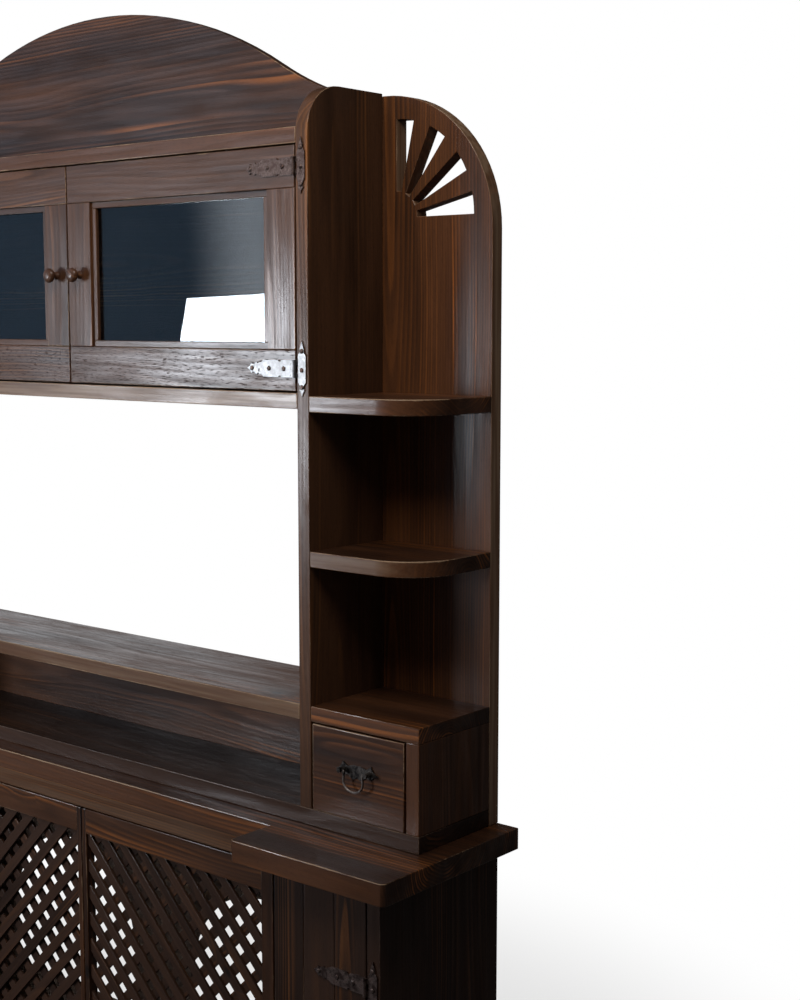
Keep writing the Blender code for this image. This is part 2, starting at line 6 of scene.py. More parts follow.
import bmesh
import bpy
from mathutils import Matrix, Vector

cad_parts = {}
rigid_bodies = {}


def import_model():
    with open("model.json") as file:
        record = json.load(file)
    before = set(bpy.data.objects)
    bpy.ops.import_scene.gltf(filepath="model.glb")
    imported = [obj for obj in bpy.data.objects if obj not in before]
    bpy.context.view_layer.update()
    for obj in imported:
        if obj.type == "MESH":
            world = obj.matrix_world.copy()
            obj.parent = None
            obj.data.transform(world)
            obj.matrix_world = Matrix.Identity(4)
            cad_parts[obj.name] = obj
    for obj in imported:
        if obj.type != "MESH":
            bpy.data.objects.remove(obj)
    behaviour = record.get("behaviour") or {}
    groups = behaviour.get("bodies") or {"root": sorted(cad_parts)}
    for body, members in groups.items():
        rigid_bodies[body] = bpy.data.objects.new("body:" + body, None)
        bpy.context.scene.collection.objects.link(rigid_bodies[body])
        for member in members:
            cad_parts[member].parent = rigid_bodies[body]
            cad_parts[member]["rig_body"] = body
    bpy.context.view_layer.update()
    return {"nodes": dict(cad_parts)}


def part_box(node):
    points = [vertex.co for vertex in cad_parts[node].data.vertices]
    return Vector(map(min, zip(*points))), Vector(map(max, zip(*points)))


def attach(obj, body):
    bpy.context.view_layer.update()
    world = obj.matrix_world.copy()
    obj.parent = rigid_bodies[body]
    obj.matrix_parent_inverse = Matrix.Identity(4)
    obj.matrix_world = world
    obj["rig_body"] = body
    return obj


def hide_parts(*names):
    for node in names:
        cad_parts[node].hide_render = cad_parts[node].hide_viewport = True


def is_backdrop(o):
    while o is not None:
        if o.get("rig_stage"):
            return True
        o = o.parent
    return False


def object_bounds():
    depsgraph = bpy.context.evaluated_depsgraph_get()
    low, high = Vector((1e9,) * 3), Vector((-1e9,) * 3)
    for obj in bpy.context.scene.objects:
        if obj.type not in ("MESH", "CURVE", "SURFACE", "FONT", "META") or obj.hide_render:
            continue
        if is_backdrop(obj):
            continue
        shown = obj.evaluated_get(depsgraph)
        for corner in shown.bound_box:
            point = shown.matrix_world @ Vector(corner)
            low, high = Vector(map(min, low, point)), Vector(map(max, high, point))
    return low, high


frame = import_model()

# Base carcass: two sides, two dividers, floor, plinth and the apron over the middle doors.
# One-inch pine boards, planed, stained a deep red-brown and varnished to a satin gloss.
# Butted and nailed together; the arrises were eased by hand, and their pale lines are partly wear and
# partly painted highlight.
X = Vector((1, 0, 0))
Y = Vector((0, 1, 0))
Z = Vector((0, 0, 1))


class Wire:
    """A node socket: Python sums and products of sockets add Math nodes."""

    def __init__(self, tree, socket=None):
        self.tree = tree
        self.socket = socket

    def node(self, kind, settings, sockets, out=0):
        """Adds a node, sets it up, feeds its sockets and gives one of its outputs."""
        made = self.tree.nodes.new(kind)
        for name, value in settings.items():
            setattr(made, name, value)
        for key, value in sockets.items():
            if isinstance(value, Wire):
                self.tree.links.new(value.socket, made.inputs[key])
            else:
                made.inputs[key].default_value = value
        return Wire(self.tree, made.outputs[out])

    def math(self, operation, *values):
        return self.node("ShaderNodeMath", {"operation": operation}, dict(enumerate(values)))

    def __add__(self, other):
        return self.math("ADD", self, other)

    def __sub__(self, other):
        return self.math("SUBTRACT", self, other)

    def __rsub__(self, other):
        return self.math("SUBTRACT", other, self)

    def __mul__(self, other):
        return self.math("MULTIPLY", self, other)

    def __truediv__(self, other):
        return self.math("DIVIDE", self, other)

    __radd__ = __add__
    __rmul__ = __mul__

    def step(self, low, high):
        """Rises smoothly from 0 at low to 1 at high."""
        return self.node("ShaderNodeMapRange", {"interpolation_type": "SMOOTHSTEP"},
                         {0: self, 1: low, 2: high})

    def blend(self, first, second):
        """Mixes two colours, with this value as the share of the second."""
        return self.node("ShaderNodeMix", {"data_type": "RGBA"}, {0: self, 6: first, 7: second}, 2)

    def noise(self, stretch, detail=2.0, rough=0.5):
        """Noise read along this vector, with its own number of waves a metre on each axis."""
        spot = self.node("ShaderNodeVectorMath", {"operation": "MULTIPLY"}, {0: self, 1: stretch})
        return self.node("ShaderNodeTexNoise", {},
                         {"Vector": spot, "Scale": 1.0, "Detail": detail, "Roughness": rough})


def paint(r, g, b):
    """A colour given as it looks on screen, from 0 to 255, made linear."""
    parts = [c / 255 for c in (r, g, b)]
    return [c / 12.92 if c < 0.04045 else ((c + 0.055) / 1.055) ** 2.4 for c in parts] + [1.0]


PORE = paint(20, 12, 8)
KNOT_HEART = paint(16, 9, 6)
# Pale colour for arris lines and washed faces: partly wear, partly painted highlight and painted light.
WORN_AND_HIGHLIT = paint(165, 138, 110)


def blank(name):
    """A new material with its tree's first wire and its shader."""
    look = bpy.data.materials.new(name)
    look.use_nodes = True
    return look, Wire(look.node_tree), look.node_tree.nodes["Principled BSDF"]


RING = 0.0062


def pine(name, deep, body, streak, worn_and_highlit, rough, coat, vivid=1.0):
    """Stained pine: the soft early wood drinks the stain and the hard late wood stays orange."""
    look, wire, shader = blank(name)
    grain = wire.node("ShaderNodeAttribute", {"attribute_name": "grain"}, {}, 1)
    edge = wire.node("ShaderNodeAttribute", {"attribute_name": "edge"}, {}, 2)
    tone = wire.node("ShaderNodeAttribute", {"attribute_name": "tone"}, {}, 2)
    pitted = wire.node("ShaderNodeAttribute", {"attribute_name": "pits"}, {}, 2)
    across = grain.node("ShaderNodeSeparateXYZ", {}, {0: grain}, 1)
    depth = grain.node("ShaderNodeSeparateXYZ", {}, {0: grain}, 2)

    # Knots: a few branches, which the growth rings flow around
    cells = grain.node("ShaderNodeVectorMath", {"operation": "MULTIPLY"}, {0: grain, 1: (4.5, 8.5, 3.0)})
    branch = grain.node("ShaderNodeTexVoronoi", {}, {"Vector": cells, "Scale": 1.0})
    chance = grain.node("ShaderNodeTexVoronoi", {}, {"Vector": cells, "Scale": 1.0}, 1)
    lot = grain.node("ShaderNodeSeparateColor", {}, {0: chance})
    rare = lot.step(0.80, 0.82)
    flow = rare * (1 - branch.step(0.04, 0.46))
    knot = rare * (1 - branch.step(0.04, 0.09))

    # Growth rings: distance from the log's heart, with a slow wander along the board
    wander = grain.noise((0.9, 6.0, 6.0), 2.0) - 0.5
    sway = grain.noise((0.9, 3.5, 3.5), 2.0) - 0.5
    side = across + wander * 0.045
    rise = depth + sway * 0.070
    heart = side.math("SQRT", side * side + rise * rise)
    bunch = grain.noise((0.4, 13.0, 13.0), 1.0)
    ripple = grain.noise((2.0, 30.0, 30.0), 3.0)
    phase = (heart + flow * flow * 0.016) / RING + ripple * 0.9 + bunch * 5.0
    saw = phase.math("FRACT", phase)
    late = saw.step(0.15, 0.80) * (1 - saw.step(0.84, 1.0))
    year = phase.node("ShaderNodeTexWhiteNoise", {"noise_dimensions": "1D"},
                      {"W": phase.math("FLOOR", phase)})

    # Stain: blotches along the grain, fine fibres, and streaks where it took badly
    blotch = grain.noise((2.2, 14.0, 14.0), 3.0, 0.6)
    fibre = grain.noise((9.0, 260.0, 260.0), 3.0, 0.6)
    thread = grain.noise((3.0, 90.0, 90.0), 2.0, 0.6)
    shown = grain.noise((1.1, 18.0, 18.0), 2.0).step(0.48, 0.70)
    pores = grain.noise((80.0, 620.0, 620.0), 2.0, 0.5).step(0.55, 0.66) * pitted
    # tone also carries the painted light that grained adds on faces turned to the lamps, so those faces
    # lean to the lighter body colour.
    base = (blotch + tone).step(0.25, 0.80).blend(deep, body)
    strength = late * (0.10 + 0.95 * shown) * (0.45 + 0.9 * thread)
    strength = strength * (0.20 + 0.95 * year * year) * vivid
    colour = strength.blend(base, streak)
    colour = (fibre.step(0.55, 0.30) * 0.22).blend(colour, deep)
    colour = (pores * 0.60).blend(colour, PORE)
    colour = (flow.step(0.45, 0.8) * 0.45).blend(colour, deep)
    colour = (knot * 0.85).blend(colour, KNOT_HEART)

    # Pale marks: arris lines, broken up so that the line is never even, partly wear and partly painted
    # highlight; and faces with a high tone, mostly the painted light that grained adds on faces turned to
    # the lamps, washed paler.
    rub = grain.noise((26.0, 150.0, 150.0), 3.0, 0.6)
    spell = grain.noise((3.5, 5.0, 5.0), 1.0)
    rubbed_and_highlit_arris = (edge + (rub - 0.5) * 0.8 + (spell - 0.5) * 0.9).step(0.64, 1.04)
    high_tone_light_wash = tone.step(0.30, 0.90) * (0.25 + 0.75 * thread.step(0.30, 0.70)) * (0.35 + 1.3 * blotch)
    colour = (high_tone_light_wash * 0.62).blend(colour, worn_and_highlit)
    colour = (rubbed_and_highlit_arris * 0.80).blend(colour, worn_and_highlit)

    # Surface: open pores and proud late wood under a varnish that thins in streaks
    height = fibre * 0.4 + late * 0.25 - knot * 0.6 + thread * 0.3 - pores * 0.8
    bump = grain.node("ShaderNodeBump", {}, {"Strength": 0.22, "Distance": 0.0012, "Height": height})
    gloss = rough + (fibre - 0.5) * 0.18 + (blotch - 0.5) * 0.20 + rubbed_and_highlit_arris * 0.12 + pores * 0.30
    cloud = grain.noise((6.0, 22.0, 22.0), 3.0, 0.6)
    streaky = 0.30 + 0.50 * late + 0.60 * thread.step(0.36, 0.64)
    varnish = coat * (1 - rubbed_and_highlit_arris) * (1 - pores) * cloud.step(0.15, 0.62) * streaky
    tree = look.node_tree
    tree.links.new(colour.socket, shader.inputs["Base Color"])
    tree.links.new(gloss.socket, shader.inputs["Roughness"])
    tree.links.new(bump.socket, shader.inputs["Normal"])
    tree.links.new(varnish.socket, shader.inputs["Coat Weight"])
    shader.inputs["Coat Roughness"].default_value = 0.24
    shader.inputs["Specular IOR Level"].default_value = 0.08 + 0.15 * coat
    return look


STAINED = pine("stained_pine", deep=paint(41, 24, 15), body=paint(85, 52, 31), streak=paint(154, 90, 40),
               worn_and_highlit=WORN_AND_HIGHLIT, rough=0.40, coat=0.78)
BARE_INSIDE = pine("inside_pine", deep=paint(36, 25, 18), body=paint(70, 49, 34),
                   streak=paint(112, 78, 50), worn_and_highlit=paint(130, 100, 72), rough=0.66, coat=0.0)
# A darker, duller copy of the stained pine for the base sides, hutch floor, lattice slats and wing planks;
# part of its darkness is painted shade for boards in shadow or turned from the lamps.
SAWN_AND_SHADED = pine("sawn_and_shaded_pine", deep=paint(32, 20, 14), body=paint(58, 38, 27), streak=paint(96, 58, 30),
            worn_and_highlit=paint(120, 100, 84), rough=0.50, coat=0.42)

# Angles that make an arris, a sharp edge and a planed face, then how most boards are eased, and how pale
# their arrises paint: partly wear, partly painted highlight
ARRIS = math.radians(30)
SHARP = math.radians(20)
PLANED = math.radians(0.5)
FLAT = 0.99999
WELD = 0.00001
EASE = 0.0013
RUBBED = 0.005
ARRIS_WEAR_AND_HIGHLIGHT = 0.75
OTHER_ARRIS_SHARE = 0.72
FRONT_FACING = 0.3
PITS = 0.30


def refilled(bm, faces, out):
    """Fills a flat stretch afresh, so that no triangle folds over a bore or a gap."""
    inside = set(faces)
    around = dict.fromkeys(e for face in faces for e in face.edges)
    rim = [e for e in around if sum(face in inside for face in e.link_faces) == 1]
    bmesh.ops.delete(bm, geom=faces, context="FACES_KEEP_BOUNDARY")
    made = bmesh.ops.triangle_fill(bm, edges=rim, use_beauty=True, normal=out)["geom"]
    for face in made:
        if isinstance(face, bmesh.types.BMFace):
            face.normal_update()
            if face.normal.dot(out) < 0:
                face.normal_flip()


def eased(bm, ease, rubbed, wear=ARRIS_WEAR_AND_HIGHLIGHT):
    """Breaks the outer arrises of closed boards and marks how pale the points on them paint: wear, with
    painted highlight on the arrises that face the front.
    """
    near = bm.verts.layers.float.new("edge")
    bm.normal_update()
    waiting = dict.fromkeys(bm.faces)
    while waiting:
        group = [waiting.popitem()[0]]
        for face in group:
            for rim in face.edges:
                for other in rim.link_faces:
                    if other in waiting and rim.calc_face_angle(0.0) < ARRIS:
                        del waiting[other]
                        group.append(other)
        out = group[0].normal.copy()
        flat = all(face.normal.dot(out) > FLAT for face in group)
        bmesh.ops.inset_region(bm, faces=group, thickness=rubbed, use_even_offset=True, use_boundary=True)
        if flat and (len(group) > 1 or len(group[0].verts) > 4):
            refilled(bm, group, out)
    corners = [e for e in bm.edges if e.calc_face_angle(0.0) > ARRIS and e.is_convex]
    for corner in corners:
        # Arrises that face the front and not down get the full share: handling wear, and painted highlight
        # where the lamps catch them; the others get less.
        facing = corner.link_faces[0].normal + corner.link_faces[1].normal
        handled_and_lit = facing.y < -FRONT_FACING and facing.z > -FRONT_FACING
        for v in corner.verts:
            v[near] = max(v[near], wear if handled_and_lit else wear * OTHER_ARRIS_SHARE)
    bmesh.ops.bevel(bm, geom=corners, offset=ease, offset_type="OFFSET", segments=2, profile=0.5,
                    affect="EDGES", clamp_overlap=True)


def islands(bm):
    """The separate bodies of a mesh, as lists of points."""
    waiting = dict.fromkeys(bm.verts)
    while waiting:
        body = [waiting.popitem()[0]]
        for v in body:
            for rim in v.link_edges:
                other = rim.other_vert(v)
                if other in waiting:
                    del waiting[other]
                    body.append(other)
        yield body


def grained(bm, along, across, tone, seed, sawn=None, pale=Vector(), spread=0.06, pits=PITS):
    """Cuts each body from its own log: where the log's heart lies, how dark the stain took, and painted
    light on the faces turned along pale.
    """
    grain = bm.verts.layers.float_vector.new("grain")
    shade = bm.verts.layers.float.new("tone")
    holes = bm.verts.layers.float.new("pits")
    luck = random.Random(seed)
    thick = along.cross(across)
    bm.verts.index_update()
    bm.normal_update()
    for body in sorted(islands(bm), key=lambda points: min(v.index for v in points)):
        low = Vector([min(v.co[i] for v in body) for i in range(3)])
        high = Vector([max(v.co[i] for v in body) for i in range(3)])
        middle = (low + high) / 2
        heart = Vector((luck.uniform(1, 30), luck.uniform(-0.07, 0.07),
                        luck.choice((-1, 1)) * luck.uniform(0.025, 0.085)))
        if sawn:
            heart = Vector(sawn)
        dark = tone + luck.uniform(-spread, spread)
        for v in body:
            d = v.co - middle
            v[grain] = Vector((d.dot(along), d.dot(across), d.dot(thick))) + heart
            # Faces turned along pale get a higher tone: painted light for the sides that face the lamps.
            v[shade] = dark + max(0.0, pale.dot(v.normal))
            v[holes] = pits


def crisp(bm):
    """Round stretches shade smooth and arrises stay sharp."""
    for face in bm.faces:
        face.smooth = True
    for rim in bm.edges:
        rim.smooth = rim.calc_face_angle(0.0) < SHARP


def settled(bm, name):
    """Turns what was built into a finished mesh."""
    mesh = bpy.data.meshes.new(name)
    bm.to_mesh(mesh)
    bm.free()
    return mesh


def placed(name, data):
    """Puts a mesh, lamp or camera into the scene."""
    obj = bpy.data.objects.new(name, data)
    bpy.context.scene.collection.objects.link(obj)
    return obj


def piece(bm, name, look, slot, node):
    """Makes the mesh a piece that stands for the node and moves with its body."""
    mesh = settled(bm, name)
    mesh.materials.append(look)
    obj = placed(name, mesh)
    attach(obj, frame["nodes"][node]["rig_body"])
    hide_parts(node)


def welded(node):
    """A copy of a CAD node's faces, with their corners joined."""
    bm = bmesh.new()
    bm.from_mesh(frame["nodes"][node].data)
    bmesh.ops.remove_doubles(bm, verts=bm.verts, dist=WELD)
    return bm


def lifted(node):
    """A welded copy with whole faces, to be eased and grained."""
    bm = welded(node)
    bmesh.ops.dissolve_limit(bm, angle_limit=PLANED, verts=bm.verts, edges=bm.edges)
    return bm


def finished(bm, node, along, across, tone, ease=EASE, rubbed=RUBBED, look=STAINED, slot="stained_pine",
             sawn=None, wear=ARRIS_WEAR_AND_HIGHLIGHT, pale=Vector()):
    """Eases and grains a board's faces and makes them the node's piece."""
    eased(bm, ease, rubbed, wear)
    grained(bm, along, across, tone, node, sawn, pale)
    crisp(bm)
    piece(bm, node + "_board", look, slot, node)


def board(node, along, across, tone, **finish):
    """One board with the CAD node's own outline."""
    finished(lifted(node), node, along, across, tone, **finish)


# Painted light: faces turned to the front get a higher tone, as if lit by the lamps in front.
FRONT_PAINTED_LIGHT = Y * -0.30
for hand in ("right", "left"):
    board(hand + "_base_side", Z, Y, tone=0.10, look=SAWN_AND_SHADED)
    board(hand + "_divider", Z, Y, tone=-0.06)
board("base_floor", X, Y, tone=-0.08, rubbed=0.0012)
board("plinth", X, Z, tone=-0.10)
board("apron", X, Z, tone=0.14, ease=0.0006, rubbed=0.0012, pale=FRONT_PAINTED_LIGHT * 1.4)

# Back panels: thin boards let in behind the base and the glazed cabinet.
# The cabinet's has one coat of stain and no varnish and is darker still, painted shade for the closed
# cabinet's inside; the base's is raw pine, gone grey.
# The base's panel has two round-headed openings, sawn through before it was nailed on.
RAW_BACK = pine("raw_pine", deep=paint(96, 82, 73), body=paint(138, 121, 108), streak=paint(150, 124, 98),
                worn_and_highlit=paint(160, 140, 120), rough=0.70, coat=0.0)
board("base_back", X, Z, tone=-0.02, ease=0.0008, rubbed=0.003, look=RAW_BACK, slot="inner_pine")
# The cabinet's back takes the darkest tone on the unit: painted shade for the inside of the glazed cabinet.
board("cabinet_back", X, Z, tone=-0.22, ease=0.0008, rubbed=0.003, look=BARE_INSIDE, slot="inner_pine")

# Counter: one thick glued-up pine top that steps forward over both wings.
# Stained like the carcass; its long front arris has the palest line on the whole unit, partly wear and
# partly painted highlight.
# Screwed up from below through the base's sides.
board("counter", X, Y, tone=-0.15, ease=0.0015, rubbed=0.004, wear=0.98, pale=FRONT_PAINTED_LIGHT)

# Hutch: floor board, uprights, shelves between them, and the boards of the two towers.
# The same one-inch pine; uprights and tower backs run up from the counter with upright grain.
# Shelves are let into the uprights and nailed through the back boards.
TOWER = pine("tower_pine", deep=paint(42, 25, 15), body=paint(88, 53, 30), streak=paint(170, 98, 40),
             worn_and_highlit=WORN_AND_HIGHLIT, rough=0.46, coat=0.36, vivid=2.3)
UPRIGHT = pine("upright_pine", deep=paint(40, 26, 18), body=paint(84, 55, 36), streak=paint(146, 92, 48),
               worn_and_highlit=WORN_AND_HIGHLIT, rough=0.46, coat=0.46, vivid=0.8)
FAN_HEART = (4.0, 0.09, 0.03)
# Painted light on the fan boards' outer edges and curved tops, which look lit from the side and from above.
FAN_PAINTED_LIGHT_OUT = 0.76
FAN_PAINTED_LIGHT_UP = 0.48
board("hutch_floor", X, Y, tone=-0.10, ease=0.0012, rubbed=0.004, look=SAWN_AND_SHADED, wear=0.95, pale=FRONT_PAINTED_LIGHT * 1.6)
board("middle_shelf", X, Y, tone=0.14, wear=1.08, pale=FRONT_PAINTED_LIGHT * 1.5)
board("cubby_back", X, Z, tone=-0.02)
board("cabinet_floor", X, Y, tone=0.04, wear=1.05, pale=FRONT_PAINTED_LIGHT * 2.6)
board("cabinet_top", X, Y, tone=0.26, wear=0.95)
for way, hand in ((1, "right"), (-1, "left")):
    board(hand + "_upright", Z, Y, tone=0.15, look=UPRIGHT)
    board(hand + "_fan_board", Z, X, tone=0.03, ease=0.0010, rubbed=0.0020, look=TOWER, sawn=FAN_HEART,
          wear=0.92, pale=Vector((FAN_PAINTED_LIGHT_OUT * way, 0.0, FAN_PAINTED_LIGHT_UP)))
    board(hand + "_low_shelf", X, Y, tone=-0.07, wear=1.1, pale=FRONT_PAINTED_LIGHT * 2.2)
    board(hand + "_high_shelf", X, Y, tone=-0.04, wear=1.0, pale=FRONT_PAINTED_LIGHT)


# Drawer cases: a top board over a side board, under each tower's shelves.
# Two pieces of the same stained pine, butted at the corner with the top running over.
# The joint shows as a fine dark line on the front.
def plank(low, high, along, across, tone, seed, ease=EASE, rubbed=RUBBED, pale=Vector(), pits=PITS):
    """One straight board between two corners, as a mesh to be joined with others."""
    bm = bmesh.new()
    bmesh.ops.create_cube(bm, size=1.0)
    low = Vector(low)
    high = Vector(high)
    for v in bm.verts:
        v.co = Vector([low[i] if v.co[i] < 0 else high[i] for i in range(3)])
    eased(bm, ease, rubbed)
    grained(bm, along, across, tone, seed, pale=pale, pits=pits)
    crisp(bm)
    return settled(bm, seed)


def joined(meshes):
    """Puts finished meshes into one."""
    bm = bmesh.new()
    for mesh in meshes:
        bm.from_mesh(mesh)
        bpy.data.meshes.remove(mesh)
    return bm


STOCK = 0.027
HAIR = 0.0002
for hand in ("right", "left"):
    node = hand + "_drawer_case"
    low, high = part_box(node)
    under = high.z - STOCK
    outer = (high.x - STOCK, high.x) if hand == "right" else (low.x, low.x + STOCK)
    top = plank((low.x, low.y, under + HAIR), high, X, Y, -0.08, node + "_top", pale=FRONT_PAINTED_LIGHT)
    side = plank((outer[0], low.y, low.z), (outer[1], high.y, under), Z, Y, 0.06, node + "_side",
                 pale=FRONT_PAINTED_LIGHT)
    piece(joined([top, side]), node + "_boards", STAINED, "stained_pine", node)

# Crown: one wide board sawn to an arch with a hollow at each end, set back on the cabinet's top.
# Stained pine with its grain running across; its arris is eased a little less than the shelves'.
# Glued and screwed up through the cabinet's top.
board("crown", X, Z, tone=-0.10, ease=0.0012, rubbed=0.0045)


# Lattice doors: a pine frame round crossed slats, two layers deep, halved nowhere.
# Slats of sawn pine about 20 by 6 mm, nailed into a thin border, stained with the frame; their darker,
# duller colour is partly painted shade.
# Each door hangs on two wooden pintles; the two meet with slim lips and are pulled by the slats.
def grow(obj, tree, values):
    """Runs a node tree on an object and keeps what it makes as a plain mesh."""
    mod = obj.modifiers.new(tree.name, "NODES")
    mod.node_group = tree
    for item in tree.interface.items_tree:
        if item.in_out == "INPUT" and item.name in values:
            mod[item.identifier] = values[item.name]
    graph = bpy.context.evaluated_depsgraph_get()
    mesh = bpy.data.meshes.new_from_object(obj.evaluated_get(graph))
    obj.modifiers.remove(mod)
    obj.data = mesh


def node_tree(name, sizes):
    """A node tree that takes the named sizes and a material, with a way to ask for each of them."""
    tree = bpy.data.node_groups.new(name, "GeometryNodeTree")
    tree.interface.new_socket("Geometry", in_out="INPUT", socket_type="NodeSocketGeometry")
    for size in sizes:
        tree.interface.new_socket(size, in_out="INPUT", socket_type="NodeSocketFloat")
    tree.interface.new_socket("Material", in_out="INPUT", socket_type="NodeSocketMaterial")
    tree.interface.new_socket("Geometry", in_out="OUTPUT", socket_type="NodeSocketGeometry")
    source = tree.nodes.new("NodeGroupInput")

    def taken(name):
        return Wire(tree, source.outputs[name])

    return tree, Wire(tree), taken


def close_tree(wire, shapes, taken):
    """Ends a tree: instances become real, and take the material."""
    real = wire.node("GeometryNodeRealizeInstances", {}, {0: shapes})
    made = wire.node("GeometryNodeSetMaterial", {}, {"Geometry": real, "Material": taken("Material")})
    end = wire.tree.nodes.new("NodeGroupOutput")
    wire.tree.links.new(made.socket, end.inputs[0])


def slat_tree():
    """Slats at 45 degrees, one pitch apart, each cut to the opening's edges."""
    sizes = ["Low X", "High X", "Low Z", "High Z", "Depth", "Lean", "Start", "Pitch", "Width",
             "Thickness"]
    tree, wire, taken = node_tree("crossed_slats", sizes)
    half = math.sqrt(0.5)
    lean = taken("Lean")
    corners = [(x, z) for x in ("Low X", "High X") for z in ("Low Z", "High Z")]
    ends = [lean * half * taken(x) + taken(z) * half for x, z in corners]
    least = ends[0]
    most = ends[0]
    for end in ends[1:]:
        least = wire.math("MINIMUM", least, end)
        most = wire.math("MAXIMUM", most, end)
    first = wire.math("CEIL", (least - taken("Start")) / taken("Pitch"))
    count = wire.math("FLOOR", (most - taken("Start")) / taken("Pitch")) - first + 1
    line = wire.node("GeometryNodeMeshLine", {}, {"Count": count, "Offset": (0, 0, 0)})
    index = wire.node("GeometryNodeInputIndex", {}, {})
    away = (index + first) * taken("Pitch") + taken("Start")
    run_x = [(taken(x) - lean * half * away) / -half for x in ("Low X", "High X")]
    run_z = [(taken(z) - away * half) / (lean * half) for z in ("Low Z", "High Z")]
    start = wire.math("MAXIMUM", wire.math("MINIMUM", *run_x), wire.math("MINIMUM", *run_z))
    stop = wire.math("MINIMUM", wire.math("MAXIMUM", *run_x), wire.math("MAXIMUM", *run_z))
    length = stop - start
    middle = (start + stop) / 2
    spot = wire.node("ShaderNodeCombineXYZ", {}, {0: lean * half * away - middle * half, 1: taken("Depth"),
                                                  2: away * half + middle * lean * half})
    spread = wire.node("GeometryNodeSetPosition", {}, {"Geometry": line, "Position": spot})
    turn = wire.node("ShaderNodeCombineXYZ", {}, {1: lean * (math.pi / 4)})
    long = wire.node("ShaderNodeCombineXYZ", {}, {0: length, 1: taken("Thickness"), 2: taken("Width")})
    slat = wire.node("GeometryNodeMeshCube", {}, {})
    useful = wire.math("GREATER_THAN", length, taken("Width"))
    slats = wire.node("GeometryNodeInstanceOnPoints", {},
                      {"Points": spread, "Selection": useful, "Instance": slat,
                       "Rotation": turn, "Scale": long})
    close_tree(wire, slats, taken)
    return tree


SLATS = slat_tree()
SLAT_WIDE = 0.020
SLAT_THICK = 0.0058
SLAT_PITCH = 0.0391
SLAT_STARTS = (0.0080, 0.0125)
SLAT_SEAT = 0.55
SLAT_EASE = 0.0007
SLAT_RUBBED = 0.0018
SLAT_WEAR_AND_HIGHLIGHT = 0.45
SLAT_TONE = 0.22
SLAT_BEHIND = 0.08
SLAT_SPREAD = 0.18
HOUSED = 0.004
PLAY = 0.0003
LATTICE_STILE = 0.051
LATTICE_LIP = 0.012
DOOR_THICK = 0.022
for way, hand in ((1, "right"), (-1, "left")):
    node = hand + "_lattice_door"
    low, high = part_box(hand + "_lattice")
    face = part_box("apron")[0].y
    door = (face, face + DOOR_THICK)
    wide = LATTICE_STILE
    left, right = (LATTICE_LIP, LATTICE_STILE)[::way]
    x = (low.x - PLAY, high.x + PLAY)
    z = (low.z - PLAY, high.z + PLAY)
    parts = [
        plank((x[0] - left, door[0], z[0] - wide), (x[0], door[1], z[1] + wide), Z, X, -0.10, node + "_a"),
        plank((x[1], door[0], z[0] - wide), (x[1] + right, door[1], z[1] + wide), Z, X, -0.10, node + "_b"),
        plank((x[0] + HAIR, door[0], z[0] - wide), (x[1] - HAIR, door[1], z[0]), X, Z, -0.02, node + "_c"),
        plank((x[0] + HAIR, door[0], z[1]), (x[1] - HAIR, door[1], z[1] + wide), X, Z, 0.04, node + "_d"),
    ]
    piece(joined(parts), hand + "_lattice_frame", STAINED, "stained_pine", node)

    layers = []
    for layer, lean in ((0, way), (1, -way)):
        seat = placed(hand + "_slats", bpy.data.meshes.new("seat"))
        depth = low.y + SLAT_THICK * (SLAT_SEAT + layer)
        grow(seat, SLATS, {"Low X": x[0] - HOUSED, "High X": x[1] + HOUSED, "Low Z": z[0] - HOUSED,
                           "High Z": z[1] + HOUSED, "Depth": depth, "Lean": float(lean),
                           "Start": SLAT_STARTS[layer], "Pitch": SLAT_PITCH,
                           "Width": SLAT_WIDE, "Thickness": SLAT_THICK, "Material": SAWN_AND_SHADED})
        bm = bmesh.new()
        bm.from_mesh(seat.data)
        eased(bm, SLAT_EASE, SLAT_RUBBED, SLAT_WEAR_AND_HIGHLIGHT)
        run = Vector((-1, 0, lean)).normalized()
        grained(bm, run, Vector((lean, 0, 1)).normalized(), SLAT_TONE - SLAT_BEHIND * layer,
                hand + str(layer), spread=SLAT_SPREAD)
        crisp(bm)
        layers.append(settled(bm, "slats"))
        bpy.data.objects.remove(seat)
    piece(joined(layers), hand + "_lattice_slats", SAWN_AND_SHADED, "stained_pine", hand + "_lattice")


# Plank doors of the wings: three upright planks with eased edges, so that a V shows at each joint.
# Two ledges are nailed across the back, and a turned knob is glued into the front.
# They hang on strap hinges from the unit's outer sides.
def turned_knob(x, y, z, r, tone, seed):
    """A knob from the lathe, with its stem in the door's face at y."""
    sides = 32
    # How wide it is, and how far out from the door, in radii
    outline = [(0.55, -0.05), (0.56, 0.12), (0.50, 0.22), (0.42, 0.40), (0.42, 0.58), (0.55, 0.74),
               (0.80, 0.92), (0.95, 1.12), (1.0, 1.32), (0.97, 1.50), (0.85, 1.68), (0.60, 1.82),
               (0.30, 1.885)]
    bm = bmesh.new()
    rows = []
    for wide, out in outline:
        turn = [2 * math.pi * i / sides for i in range(sides)]
        rows.append([bm.verts.new((x + wide * r * math.cos(a), y - out * r, z + wide * r * math.sin(a)))
                     for a in turn])
    for near, far in zip(rows, rows[1:]):
        for i in range(sides):
            bm.faces.new((near[i - 1], near[i], far[i], far[i - 1]))
    bm.faces.new(rows[0])
    bm.faces.new(reversed(rows[-1]))
    bmesh.ops.recalc_face_normals(bm, faces=bm.faces)
    bm.verts.layers.float.new("edge")
    grained(bm, Y, X, tone, seed)
    crisp(bm)
    return settled(bm, seed)


